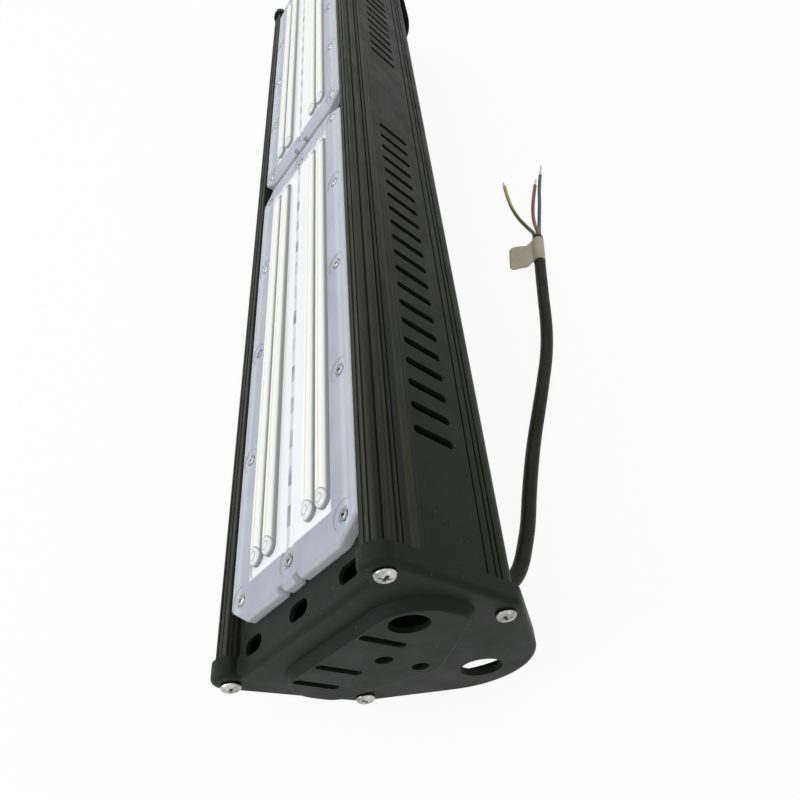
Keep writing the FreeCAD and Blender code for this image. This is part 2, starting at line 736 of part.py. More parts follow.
def primitive(kind, name, base_z, **sizes):
    """A Part primitive on the gland's axis, its sizes bound to the sheet."""
    item = document.addObject("Part::" + kind, name)
    for key, expression in sizes.items():
        item.setExpression(key, expression)
    item.setExpression("Placement.Base.x", "sizes.gland_x")
    item.setExpression("Placement.Base.y", "sizes.gland_y")
    item.setExpression("Placement.Base.z", base_z)
    return item


def combined(label, kind, first, second):
    item = document.addObject("Part::" + kind, label)
    item.Base = first
    item.Tool = second
    return item


def make_gland():
    back = "sizes.back_rise"
    collar_base = back + " + sizes.gland_washer"
    nut_base = collar_base + " + sizes.gland_collar"
    dome_base = nut_base + " + sizes.gland_nut_height"
    tail_base = back + " - sizes.back_wall - sizes.gland_tail"
    hexagon = "sizes.gland_flats / 2 / cos(30)"
    thread = "sizes.gland_thread / 2"
    mouth = "sizes.gland_mouth / 2"

    collar = primitive("Prism", "collar", collar_base, Circumradius=hexagon, Height="sizes.gland_collar")
    tail = primitive("Cylinder", "tail", tail_base, Radius=thread,
                     Height="sizes.back_wall + sizes.gland_tail + sizes.gland_washer")
    body = combined("gland_body", "Fuse", collar, tail)

    prism = primitive("Prism", "nut_prism", nut_base, Circumradius=hexagon, Height="sizes.gland_nut_height")
    dome = primitive("Cone", "nut_dome", dome_base, Radius1="sizes.gland_flats / 2 - 0.4",
                     Radius2="sizes.gland_mouth / 2 + 2", Height="sizes.gland_dome")
    solid = combined("nut_solid", "Fuse", prism, dome)
    bore = primitive("Cylinder", "nut_bore", nut_base, Radius=mouth,
                     Height="sizes.gland_nut_height + sizes.gland_dome")
    nut = combined("gland_nut", "Cut", solid, bore)

    seal = new_body("gland_seal")
    plug = [circle(S.gland_x, S.gland_y, S.gland_mouth - 0.1)]
    feature(seal, "Pad", draw(seal, "XY_Plane", plug, nut_base), "sizes.gland_nut_height + sizes.gland_dome")

    disc = primitive("Cylinder", "washer_disc", back, Radius="sizes.gland_flats / 2",
                     Height="sizes.gland_washer")
    hole = primitive("Cylinder", "washer_hole", back, Radius=thread + " + 0.05", Height="sizes.gland_washer")
    washer = combined("gland_washer", "Cut", disc, hole)

    lock_base = back + " - sizes.back_wall - sizes.locknut_height"
    lock = primitive("Prism", "lock_prism", lock_base, Circumradius=hexagon, Height="sizes.locknut_height")
    lock_hole = primitive("Cylinder", "lock_hole", lock_base, Radius=thread + " + 0.05",
                          Height="sizes.locknut_height")
    locknut = combined("gland_locknut", "Cut", lock, lock_hole)
    for item in (body, nut, washer, locknut):
        nodes.append(item)


# ---------------------------------------------------------------- cord

# The cord's route at rest, from the gland down to the floor and along it.
# Its first two points follow the gland.
CORD_ROUTE = [
    (58.6, -274.2, 14.4),
    (65.1, -268.8, 10.9),
    (69.8, -261.5, 8.8),
    (73.8, -251.0, 7.0),
    (78.4, -237.5, 5.4),
    (83.2, -217.0, 4.2),
    (91.8, -186.0, 4.0),
    (104.0, -150.5, 4.0),
    (117.4, -108.0, 4.0),
    (124.2, -55.0, 4.8),
    (131.8, -4.0, 4.9),
]
# The stripped cores, spread over the floor: colour name, bare length, start in the sheath and route.
CORES = {
    "earth": (6.0, 210.0, [(128.6, 12.3, 1.5), (122.6, 28.0, 1.4), (119.7, 49.0, 1.4), (120.1, 68.6, 1.4)]),
    "live": (8.0, 90.0, [(133.4, 14.0, 3.2), (135.6, 31.0, 1.4), (139.8, 50.0, 1.4), (145.2, 69.0, 1.4)]),
    "neutral": (15.0, 330.0, [(137.0, 13.5, 1.5), (140.3, 28.5, 1.4), (144.2, 46.0, 1.4),
                              (147.7, 64.8, 1.4), (152.4, 83.0, 1.4)]),
}


def make_cord(rest):
    """The cord, its flag label, the three cores and their bare tips, all in the resting position."""
    gland_tip = S.back_rise + S.gland_washer + S.gland_collar + S.gland_nut_height + S.gland_dome
    first = rest.multVec(Vector(S.gland_x, S.gland_y, gland_tip))
    second = rest.multVec(Vector(S.gland_x, S.gland_y, gland_tip + 9.0))
    print("cord starts", first, second)
    route = [first, second] + [Vector(*point) for point in CORD_ROUTE]
    made = [group("power_cord", [tube(route, S.cord_size)])]

    end = route[-1]
    ahead = (end - route[-2]).normalize()
    left = Vector(-ahead.y, ahead.x, 0).normalize()
    up = ahead.cross(left)
    tips = []
    for name, (bare, angle, points) in CORES.items():
        turn = math.radians(angle)
        start = end - left * (S.core_spread * math.cos(turn)) + up * (S.core_spread * math.sin(turn))
        path = [start, start + ahead * 7.0] + [Vector(*point) for point in points]
        made.append(group("core_" + name, [tube(path, S.core_size)]))
        way = (path[-1] - path[-2]).normalize()
        tips.append(Part.makeCylinder(S.tip_size / 2.0, bare, path[-1], way))
    made.append(group("core_tips", tips))

    # a wrapped label: a sleeve round the sheath, and its flag to the left
    inner = S.cord_size / 2.0 + 0.1
    outer = inner + S.label_wall
    low = end - ahead * (S.label_width + 3.0)
    sleeve = Part.makeCylinder(outer, S.label_width, low, ahead).cut(
        Part.makeCylinder(inner, S.label_width, low, ahead))
    drop = Vector(0, 0, -S.label_wall / 2.0)

    def flag_point(aside, behind):
        return end + left * aside - ahead * behind + drop
    root = inner + S.label_wall * 0.5
    outline = [flag_point(root, 3.0), flag_point(9.0, 9.6), flag_point(S.label_reach, 10.5),
               flag_point(S.label_reach, 10.5 + S.label_width), flag_point(root, 8.5 + S.label_width)]
    flag = Part.Face(Part.makePolygon(outline + outline[:1])).extrude(Vector(0, 0, S.label_wall))
    label = sleeve.fuse(flag.cut(Part.makeCylinder(inner, 200, end - ahead * 100, ahead))).removeSplitter()
    made.append(group("cord_label", [label]))
    return made


# ---------------------------------------------------------------- assembly

make_housing()
make_cap("end_cap_near")
make_cap("end_cap_far")
make_cap_screws()
for which in modules:
    make_lens(which)
    make_gasket(which)
    make_board(which)
    make_chips(which)
make_lens_screws()
make_driver()
make_straps()
make_leads()
make_gland()
document.recompute()

# The far cap is the near one turned half round the light's upright.
half_turn = Placement(Vector(0, far_end, 0), Rotation(Vector(0, 0, 1), 180.0))
far_cap = document.getObject("end_cap_far")
far_cap.Placement = half_turn.multiply(far_cap.Placement)

# At rest the light lies on the sloped edges of its caps, with its origin on the floor under its middle.
lying = Rotation(Vector(0, 1, 0), 90.0 + S.tab_slope)
spread = document.getObject("end_cap_near").Shape.transformed(Placement(Vector(), lying).Matrix, True)
box = spread.optimalBoundingBox(False)
rest = Placement(Vector(-(box.XMin + box.XMax) / 2.0, -S.overall_length / 2.0, -box.ZMin), lying)
for item in nodes:
    item.Placement = rest.multiply(item.Placement)
make_cord(rest)
document.recompute()

for item in document.Objects:
    if "Invalid" in item.State or "Error" in item.State:
        raise RuntimeError("%s failed: %s" % (item.Name, item.State))
for item in nodes:
    if item.Shape.isNull() or not item.Shape.isValid():
        raise RuntimeError("%s has no valid shape" % item.Label)

os.makedirs("parts", exist_ok=True)
for item in nodes:
    box = item.Shape.BoundBox
    print("%-20s %2d solids %9.0f mm3  x %.1f..%.1f y %.1f..%.1f z %.1f..%.1f" % (
        item.Label, len(item.Shape.Solids), item.Shape.Volume,
        box.XMin, box.XMax, box.YMin, box.YMax, box.ZMin, box.ZMax))
    item.Shape.exportStep("parts/%s.step" % item.Label)
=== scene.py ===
"""Looks of the linear high bay light: materials, detailed screws, and the mains cord with its label."""
import math

import bmesh
import bpy
from mathutils import Matrix, Vector


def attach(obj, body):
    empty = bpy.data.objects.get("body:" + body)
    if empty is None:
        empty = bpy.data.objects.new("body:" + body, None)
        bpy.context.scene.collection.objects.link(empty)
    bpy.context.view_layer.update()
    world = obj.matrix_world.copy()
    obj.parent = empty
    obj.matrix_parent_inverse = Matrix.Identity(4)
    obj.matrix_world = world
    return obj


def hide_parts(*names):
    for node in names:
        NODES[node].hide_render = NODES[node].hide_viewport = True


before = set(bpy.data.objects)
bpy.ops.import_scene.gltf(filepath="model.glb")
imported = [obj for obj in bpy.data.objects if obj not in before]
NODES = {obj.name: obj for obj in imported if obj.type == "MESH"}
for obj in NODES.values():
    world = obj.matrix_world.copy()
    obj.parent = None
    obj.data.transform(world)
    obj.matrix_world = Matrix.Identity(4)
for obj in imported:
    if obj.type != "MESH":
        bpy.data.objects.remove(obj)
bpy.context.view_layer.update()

# The light lies turned about its long axis. Its own section has x across the lenses and z away from them.
TURN = math.radians(-128.0)
SECTION_ORIGIN = Vector((-0.025677, -0.3125, 0.077222))
TO_SECTION = Matrix.Rotation(TURN, 3, "Y")
OUT_OF_LENS = TO_SECTION.transposed() @ Vector((0, 0, -1))

LIGHT_LENGTH = 0.625
SECTION_DEPTH = 0.0697
LENS_MIDDLE = 0.150         # from the middle of the light to the middle of each lens
LENS_REACH = 0.05           # from the middle of the light outwards; the frame's painted highlight lies at shares of it
WINDOW_HALF = 0.0291
WINDOW_REACH = 0.1306       # from the middle of a lens to the end of its window
RIB_INNER, RIB_OUTER, RIB_HALF = 0.0145, 0.0240, 0.0040
RIB_REACH = 0.1265
STRIP_PLACE, STRIP_HALF = 0.0012, 0.0013    # a clear strip along the window, near its middle
PART_PITCH, PART_SHARE = 0.0187, 0.5        # small parts on the board, under that strip
PART_HALF = 0.0014
TRACK_PLACE, TRACK_HALF = 0.0105, 0.0007

CAP_HEAD_SHARE = 0.84       # the cap screws' visible heads are 8 mm wide
LENS_HEAD_SHARE = 0.9
FIRST_SPIN, NEXT_SPIN = 0.4, 0.83           # how each screw is turned, in radians
HEAD_RINGS, HEAD_STEPS = 26, 64

# The cord's route, in metres, from the gland to the sheath's end, and each core's route beyond it.
CORD_SIZE = 0.008
CORD_ROUTE = [
    (0.0449, -0.2770, 0.0246), (0.0520, -0.2770, 0.0191), (0.0586, -0.2742, 0.0144),
    (0.0651, -0.2688, 0.0109), (0.0698, -0.2615, 0.0088), (0.0738, -0.2510, 0.0070),
    (0.0784, -0.2375, 0.0054), (0.0832, -0.2170, 0.0041), (0.0918, -0.1860, 0.0040),
    (0.1040, -0.1505, 0.0040), (0.1174, -0.1080, 0.0040), (0.1242, -0.0550, 0.0048),
    (0.1318, -0.0040, 0.0049),
]
CORE_SIZE = 0.0028
CORE_SPREAD = 0.0021
CORE_STRAIGHT = 0.007       # each core leaves the sheath straight for this length
TIP_SIZE = 0.0018
# Each core's length, bare length, place round the sheath in degrees, and route.
CORES = {
    "earth": (0.074, 0.006, 210, [
        (0.1286, 0.0123, 0.0015), (0.1226, 0.0280, 0.0014), (0.1197, 0.0490, 0.0014),
        (0.1201, 0.0686, 0.0014)]),
    "live": (0.075, 0.008, 90, [
        (0.1334, 0.0140, 0.0032), (0.1356, 0.0310, 0.0014), (0.1398, 0.0500, 0.0014),
        (0.1452, 0.0690, 0.0014)]),
    "neutral": (0.089, 0.015, 330, [
        (0.1370, 0.0135, 0.0015), (0.1403, 0.0285, 0.0014), (0.1442, 0.0460, 0.0014),
        (0.1477, 0.0648, 0.0014), (0.1524, 0.0830, 0.0014)]),
}
LABEL_START, LABEL_WIDTH = 0.003, 0.024     # along the sheath, measured back from its end
LABEL_REACH, LABEL_CORNER = 0.021, 0.003    # the flag's far edge and the rounding of its corners
LABEL_CLEARANCE, LABEL_GAP, LABEL_WALL = 0.00022, 0.00018, 0.0003
# The flag steps back along the sheath at its neck, leans a little, sags and curls.
FLAG_NECK, FLAG_STEP, FLAG_LEAN = 0.0045, (0.0066, 0.0055), (0.0009, 0.0020)
FLAG_SAG, FLAG_CURL = 0.0022, 0.0009

FLOOR_HALF = 6
FLOOR_GLOW = 0.93           # the rest of the floor's look is the paper with its shadow
ROOM_LIGHT, SEEN_WHITE = ((0.98, 0.99, 0.98), 0.45), ((1, 1, 1), 1.0)   # colour and strength

CAMERA_PLACE = (0.0060, -0.4180, 0.3250)
CAMERA_LENS = 32.29
CAMERA_SHIFT = (-0.0775, -0.0309)
CAMERA_RIGHT = (0.9901, -0.1332, 0.0437)
CAMERA_UP = (0.0699, 0.7391, 0.6699)
CAMERA_BACK = (-0.1215, -0.6602, 0.7412)

# ---------------------------------------------------------------- small helpers


class Shader:
    """A node material with its Principled shader, and short ways to add nodes to it."""

    def __init__(self, name, **sockets):
        self.material = bpy.data.materials.new(name)
        self.material.use_nodes = True
        self.tree = self.material.node_tree
        self.bsdf = self.tree.nodes["Principled BSDF"]
        for socket, value in sockets.items():
            self.bsdf.inputs[socket.replace("_", " ")].default_value = value

    def add(self, kind, **settings):
        node = self.tree.nodes.new(kind)
        for key, value in settings.items():
            setattr(node, key, value)
        return node

    def link(self, output, target):
        self.tree.links.new(output, target)

    def math(self, operation, first, second=None):
        """A maths node, with numbers or other outputs as its inputs."""
        node = self.add("ShaderNodeMath", operation=operation)
        for socket, value in zip(node.inputs, (first, second)):
            if isinstance(value, (int, float)):
                socket.default_value = value
            elif value is not None:
                self.link(value, socket)
        return node.outputs[0]

    def position(self, scale=(1, 1, 1)):
        """The place on the object in metres, turned into the light's own section and stretched by scale."""
        turn = self.add("ShaderNodeMapping")
        turn.inputs["Rotation"].default_value = (0, TURN, 0)
        turn.inputs["Location"].default_value = -(TO_SECTION @ SECTION_ORIGIN)
        self.link(self.add("ShaderNodeNewGeometry").outputs["Position"], turn.inputs["Vector"])
        stretch = self.add("ShaderNodeMapping")
        stretch.inputs["Scale"].default_value = scale
        self.link(turn.outputs["Vector"], stretch.inputs["Vector"])
        return stretch.outputs["Vector"]

    def noise(self, scale, detail=2.0, stretch=(1, 1, 1), roughness=0.5):
        """Noise over the light's own section, drawn out along an axis where its stretch is below 1."""
        node = self.add("ShaderNodeTexNoise")
        node.inputs["Scale"].default_value = scale
        node.inputs["Detail"].default_value = detail
        node.inputs["Roughness"].default_value = roughness
        self.link(self.position(stretch), node.inputs["Vector"])
        return node.outputs["Fac"]

    def ramp(self, fac, *stops):
        """A colour ramp from (place, colour) stops, where a colour is a grey or three numbers."""
        node = self.add("ShaderNodeValToRGB")
        elements = node.color_ramp.elements
        while len(elements) < len(stops):
            elements.new(0.5)
        for element, (place, color) in zip(elements, stops):
            element.position = place
            element.color = (*((color,) * 3 if isinstance(color, (int, float)) else color), 1.0)
        self.link(fac, node.inputs["Fac"])
        return node.outputs["Color"]

    def mix(self, fac, first, second):
        """A blend of two colours."""
        node = self.add("ShaderNodeMix", data_type="RGBA")
        for socket, value in ((node.inputs[0], fac), (node.inputs[6], first), (node.inputs[7], second)):
            if isinstance(value, tuple):
                socket.default_value = (*value, 1.0)
            elif isinstance(value, (int, float)):
                socket.default_value = value
            else:
                self.link(value, socket)
        return node.outputs[2]

    def to(self, socket, value):
        self.link(value, self.bsdf.inputs[socket])

    def bump(self, height, distance, strength=1.0):
        """Relief on top of the relief that is there already."""
        node = self.add("ShaderNodeBump")
        node.inputs["Distance"].default_value = distance
        node.inputs["Strength"].default_value = strength
        self.link(height, node.inputs["Height"])
        previous = self.bsdf.inputs["Normal"].links
        if previous:
            self.link(previous[0].from_socket, node.inputs["Normal"])
        self.to("Normal", node.outputs["Normal"])


def rough_range(shader, fac, low, high):
    """Roughness that follows a noise from low to high."""
    shader.to("Roughness", shader.ramp(fac, (0.35, low), (0.65, high)))


def new_object(name, data, slot_name, shader, *stands_for):
    """A piece of the light made in this script: it rides on the light and stands for its CAD nodes."""
    piece = bpy.data.objects.new(name, data)
    bpy.context.scene.collection.objects.link(piece)
    piece.data.materials.append(shader.material)
    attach(piece, "root")
    if stands_for:
        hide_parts(*stands_for)
    return piece


def mesh_from(name, verts, faces, smooth=True):
    """A mesh from points and faces."""
    mesh = bpy.data.meshes.new(name)
    mesh.from_pydata([tuple(point) for point in verts], [], faces)
    mesh.validate()
    if smooth:
        mesh.shade_smooth()
    return mesh


def grid_faces(rows, columns, start=0, closed=False):
    """Quads between rows of points, wrapping round each row when closed."""
    faces = []
    for row in range(rows - 1):
        for column in range(columns if closed else columns - 1):
            after = (column + 1) % columns
            low, high = start + row * columns, start + (row + 1) * columns
            faces.append((low + column, low + after, high + after, high + column))
    return faces


def dress(shader, *names):
    """Gives CAD nodes a material."""
    for name in names:
        mesh = NODES[name].data
        mesh.materials.clear()
        mesh.materials.append(shader.material)


# ---------------------------------------------------------------- materials

def powder_coat(name, drawn):
    """Matte black powder coat with a fine orange peel; a drawn section has lengthwise lines as well."""
    coat = Shader(name, Specular_IOR_Level=0.095)
    tone = coat.ramp(coat.noise(26, 3.0), (0.25, (0.0136, 0.0162, 0.0134)), (0.75, (0.0160, 0.0189, 0.0158)))
    if drawn:
        # Olive streaks, strongest on the rails beside the lenses.
        split = coat.add("ShaderNodeSeparateXYZ")
        coat.link(coat.position(), split.inputs["Vector"])
        depth = coat.math("DIVIDE", split.outputs["Z"], SECTION_DEPTH)
        near_lens = coat.ramp(depth, (0.15, 0.85), (0.26, 0.04))
        streak = coat.ramp(coat.noise(650, 2.0, stretch=(1, 0.004, 1)), (0.45, 0.0), (0.62, 1.0))
        tone = coat.mix(coat.math("MULTIPLY", streak, near_lens), tone, (0.050, 0.047, 0.034))
    dust = coat.ramp(coat.noise(420, 1.0, roughness=0.3), (0.75, 0.0), (0.81, 0.25))
    coat.to("Base Color", coat.mix(dust, tone, (0.10, 0.10, 0.09)))
    rough_range(coat, coat.noise(60, 3.0), 0.46, 0.56)
    coat.bump(coat.noise(1150, 2.0), 0.00007)
    if drawn:
        coat.bump(coat.noise(420, 1.0, stretch=(1, 0.012, 1)), 0.00004, 0.7)
    return coat


class LensPlaces:
    """Masks over the lenses: the window, its ribs, the beads at their ends and the clear strip."""

    def __init__(self, lens):
        split = lens.add("ShaderNodeSeparateXYZ")
        lens.link(lens.position(), split.inputs["Vector"])
        self.along_light = split.outputs["Y"]
        self.across = lens.math("ABSOLUTE", split.outputs["X"])
        from_middle = lens.math("ABSOLUTE", lens.math("SUBTRACT", self.along_light, LIGHT_LENGTH / 2))
        lengthwise = lens.math("ABSOLUTE", lens.math("SUBTRACT", from_middle, LENS_MIDDLE))
        self.window = lens.math("MULTIPLY", lens.math("LESS_THAN", self.across, WINDOW_HALF),
                                lens.math("LESS_THAN", lengthwise, WINDOW_REACH))

        aside = lens.math("ABSOLUTE", lens.math("SUBTRACT", self.across, (RIB_INNER + RIB_OUTER) / 2))
        self.off_rib = lens.math("ABSOLUTE", lens.math("SUBTRACT", aside, (RIB_OUTER - RIB_INNER) / 2))
        along = lens.math("SUBTRACT", lengthwise, RIB_REACH - RIB_HALF)
        squares = lens.math("ADD", lens.math("POWER", self.off_rib, 2.0), lens.math("POWER", along, 2.0))
        self.off_bead = lens.math("SQRT", squares)
        self.bead = lens.math("MULTIPLY", lens.math("LESS_THAN", self.off_bead, RIB_HALF), self.window)
        straight = lens.math("MULTIPLY", lens.math("LESS_THAN", self.off_rib, RIB_HALF),
                             lens.math("LESS_THAN", along, 0.0))
        self.rib = lens.math("MAXIMUM", lens.math("MULTIPLY", straight, self.window), self.bead)

        off_strip = lens.math("ABSOLUTE", lens.math("SUBTRACT", split.outputs["X"], STRIP_PLACE))
        self.strip = lens.math("MULTIPLY", lens.math("LESS_THAN", off_strip, STRIP_HALF), self.window)


def frosted_frame(lens, places, cloud):
    """Colour of the frame, with a painted pale highlight along its outer edge and painted light that makes it
    nearly white where it turns down to the tray.
    """
    frost = lens.ramp(cloud, (0.3, (0.46, 0.48, 0.57)), (0.7, (0.58, 0.60, 0.68)))
    # Painted highlight: a pale streak near the frame's outer edge.
    painted_edge_highlight = lens.ramp(lens.math("DIVIDE", places.across, LENS_REACH),
                     (0.71, 0.0), (0.765, 0.65), (0.81, 0.15), (0.86, 0.75))
    frost = lens.mix(painted_edge_highlight, frost, (0.78, 0.80, 0.84))
    # Painted light: faces that turn away from the lens's face, down to the tray, are made nearly white.
    facing = lens.add("ShaderNodeVectorMath", operation="DOT_PRODUCT")
    lens.link(lens.add("ShaderNodeNewGeometry").outputs["True Normal"], facing.inputs[0])
    facing.inputs[1].default_value = OUT_OF_LENS
    painted_skirt_light = lens.ramp(lens.math("ABSOLUTE", facing.outputs["Value"]), (0.25, 0.95), (0.9, 0.0))
    return lens.mix(painted_skirt_light, frost, (0.97, 0.97, 0.985))


def milky_window(lens, places):
    """Colour of the window: ribs with painted light and shade that end in beads with painted glint rings, and
    a broken dark line in the clear strip.
    """
    # Across each rib: a painted cream line of light along its crest, a milky flank and a painted grey shade
    # line at its foot.
    rib = lens.ramp(lens.math("DIVIDE", places.off_rib, RIB_HALF), (0.06, (0.80, 0.735, 0.63)),
                    (0.2, (0.96, 0.95, 0.91)), (0.8, (0.97, 0.97, 0.94)), (0.93, (0.36, 0.36, 0.34)))
    # Across each bead: painted glints, a white middle, a grey ring, white again and a painted grey shade line
    # at its edge.
    bead = lens.ramp(lens.math("DIVIDE", places.off_bead, RIB_HALF), (0.3, (0.97, 0.97, 0.97)),
                     (0.46, (0.50, 0.52, 0.53)), (0.6, (0.97, 0.97, 0.98)), (0.84, (0.93, 0.93, 0.94)),
                     (0.93, (0.36, 0.36, 0.36)))
    rib = lens.mix(places.bead, rib, bead)
    milk = lens.ramp(lens.noise(18, 2.0, stretch=(1, 0.15, 1)), (0.35, (0.87, 0.875, 0.89)),
                     (0.65, (0.93, 0.93, 0.935)))
    window = lens.mix(places.rib, milk, rib)

    pitch = lens.math("FRACT", lens.math("DIVIDE", places.along_light, PART_PITCH))
    from_part = lens.math("ABSOLUTE", lens.math("SUBTRACT", pitch, 0.5))
    dash = lens.math("LESS_THAN", from_part, PART_SHARE / 2)
    broken = lens.ramp(lens.noise(30, 2.0, stretch=(0.2, 1, 0.2)), (0.42, 0.25), (0.62, 0.95))
    strip = lens.mix(lens.math("MULTIPLY", dash, broken), (0.74, 0.76, 0.76), (0.16, 0.17, 0.16))
    return lens.mix(places.strip, window, strip)


def lens_plastic():
    """Clear polycarbonate: a frosted frame, and milky windows with ribs over the rows of lights."""
    lens = Shader("lens", IOR=1.45, Specular_IOR_Level=0.5)
    places = LensPlaces(lens)
    cloud = lens.noise(45, 4.0)
    frame_color = frosted_frame(lens, places, cloud)
    lens.to("Base Color", lens.mix(places.window, frame_color, milky_window(lens, places)))

    through, through_clear, through_frame = 0.08, 0.12, 0.22
    clear = lens.math("ADD", lens.math("MULTIPLY", places.bead, through_clear),
                      lens.math("MULTIPLY", places.strip, through_clear))
    outside = lens.math("SUBTRACT", 1.0, places.window)
    frosted = lens.math("MULTIPLY", outside, through_frame)
    lens.to("Transmission Weight", lens.math("ADD", lens.math("ADD", clear, frosted), through))
    rough_frame, window_gloss, uneven = 0.36, 0.26, 0.06
    rough = lens.math("SUBTRACT", rough_frame, lens.math("MULTIPLY", places.window, window_gloss))
    lens.to("Roughness", lens.math("ADD", rough, lens.math("MULTIPLY", cloud, uneven)))
    lens.bump(lens.math("MULTIPLY", lens.noise(1600, 2.0), outside), 0.00004)
    lens.bump(lens.noise(130, 2.0), 0.00003)
    return lens


def led_board():
    """White solder mask with thin copper tracks under it and small dark resistors along the middle."""
    board = Shader("board", Roughness=0.35)
    split = board.add("ShaderNodeSeparateXYZ")
    board.link(board.position(), split.inputs["Vector"])
    pitch = board.math("FRACT", board.math("DIVIDE", split.outputs["Y"], PART_PITCH))
    middle = board.math("ABSOLUTE", board.math("SUBTRACT", pitch, 0.5))
    across = board.math("ABSOLUTE", board.math("SUBTRACT", split.outputs["X"], STRIP_PLACE))
    dash = board.math("MULTIPLY", board.math("LESS_THAN", middle, PART_SHARE / 2),
                      board.math("LESS_THAN", across, PART_HALF))
    aside = board.math("SUBTRACT", board.math("ABSOLUTE", split.outputs["X"]), TRACK_PLACE)
    track = board.math("MULTIPLY", board.math("LESS_THAN", board.math("ABSOLUTE", aside), TRACK_HALF), 0.22)
    white = board.ramp(board.noise(60, 3.0), (0.3, (0.80, 0.80, 0.765)), (0.7, (0.88, 0.88, 0.85)))
    tracked = board.mix(track, white, (0.55, 0.50, 0.38))
    board.to("Base Color", board.mix(dash, tracked, (0.06, 0.055, 0.05)))
    board.bump(board.noise(900, 1.0), 0.00003)
    return board


def led_chip():
    """Yellow phosphor, a little uneven."""
    chip = Shader("chip", Roughness=0.3)
    phosphor = chip.ramp(chip.noise(300, 2.0), (0.3, (0.80, 0.66, 0.24)), (0.7, (0.90, 0.80, 0.42)))
    chip.to("Base Color", phosphor)
    chip.bump(chip.noise(2200, 1.0), 0.00003)
    return chip


def plated(name, low, high, rough):
    """Bright plate with fine turning marks and dull patches, and painted shade where a mesh marks a screw's
    cross recess and the unseen side under its head.
    """
    metal = Shader(name, Metallic=1.0)
    clean = metal.ramp(metal.noise(210, 3.0), (0.35, low), (0.65, high))
    recess_and_shade = metal.add("ShaderNodeAttribute", attribute_name="recess_and_shade")
    # Painted shade: the mesh's recess share and the side under each head darken the plate towards near black.
    metal.to("Base Color", metal.mix(recess_and_shade.outputs["Fac"], clean, (0.035, 0.035, 0.035)))
    rough_range(metal, metal.noise(520, 3.0), rough, rough + 0.16)
    metal.bump(metal.noise(2600, 2.0), 0.00002)
    return metal


def moulded(name, dark, light, rough, grain=900, depth=0.00004, gloss=0.5):
    """Moulded rubber or plastic: a slow change of tone and a fine grain."""
    plastic = Shader(name, Specular_IOR_Level=gloss)
    plastic.to("Base Color", plastic.ramp(plastic.noise(70, 3.0), (0.3, dark), (0.7, light)))
    rough_range(plastic, plastic.noise(160, 2.0), rough - 0.07, rough + 0.07)
    plastic.bump(plastic.noise(grain, 2.0), depth)
    return plastic


def earth_core():
    """Green insulation with a yellow stripe that turns slowly round the core."""
    core = Shader("core_earth", Roughness=0.42)
    geometry = core.add("ShaderNodeNewGeometry")
    normal = core.add("ShaderNodeSeparateXYZ")
    core.link(geometry.outputs["Normal"], normal.inputs["Vector"])
    place = core.add("ShaderNodeSeparateXYZ")
    core.link(geometry.outputs["Position"], place.inputs["Vector"])
    angle = core.math("ARCTAN2", normal.outputs["Z"], normal.outputs["X"])
    twist, start, edge = -40.0, 2.1, 0.6
    turned = core.math("ADD", angle, core.math("MULTIPLY", place.outputs["Y"], twist))
    stripe = core.math("GREATER_THAN", core.math("SINE", core.math("ADD", turned, start)), edge)
    yellow = core.ramp(core.noise(300, 2.0), (0.3, (0.50, 0.36, 0.045)), (0.7, (0.60, 0.45, 0.07)))
    core.to("Base Color", core.mix(stripe, (0.06, 0.105, 0.03), yellow))
    core.bump(core.noise(1300, 2.0), 0.00003)
    return core


def cast_aluminium():
    """Satin aluminium with lengthwise lines."""
    case = Shader("driver_case", Metallic=0.9)
    case.to("Base Color", case.ramp(case.noise(40, 4.0), (0.3, (0.45, 0.46, 0.47)), (0.7, (0.6, 0.61, 0.62))))
    rough_range(case, case.noise(300, 2.0, stretch=(1, 0.03, 1)), 0.32, 0.5)
    case.bump(case.noise(700, 1.0, stretch=(1, 0.02, 1)), 0.00003)
    return case


# ---------------------------------------------------------------- pieces

def islands(name):
    """The separate solids of a CAD node, each as a list of its points, in the order of the mesh."""
    shape = bmesh.new()
    shape.from_mesh(NODES[name].data)
    bmesh.ops.remove_doubles(shape, verts=shape.verts, dist=1e-6)
    seen, found = set(), []
    for first in shape.verts:
        if first in seen:
            continue
        seen.add(first)
        queue, part = [first], []
        while queue:
            vertex = queue.pop()
            part.append(vertex.co.copy())
            for edge in vertex.link_edges:
                other = edge.other_vert(vertex)
                if other not in seen:
                    seen.add(other)
                    queue.append(other)
        found.append(part)
    shape.free()
    return found


def cross_recess(x, y, radius):
    """Depth of a cross recess at a point of a head, as a share of its full depth."""
    arm, half, core = 0.56 * radius, 0.115 * radius, 0.2 * radius
    soft = 0.07 * radius

    def inside(value, limit):
        return min(1.0, max(0.0, (limit + soft - abs(value)) / soft))

    bar = max(inside(x, arm) * inside(y, half), inside(y, arm) * inside(x, half))
    return max(bar, inside(math.hypot(x, y), core))


def dome_height(share):
    """Height of a pan head at a share of its radius: nearly flat, then rounded down to its rim."""
    turn, sink, fall = 0.72, 0.18, 0.42
    past = max(0.0, share - turn) / (1.0 - turn)
    return 1.0 - sink * share ** 2 - fall * past ** 2


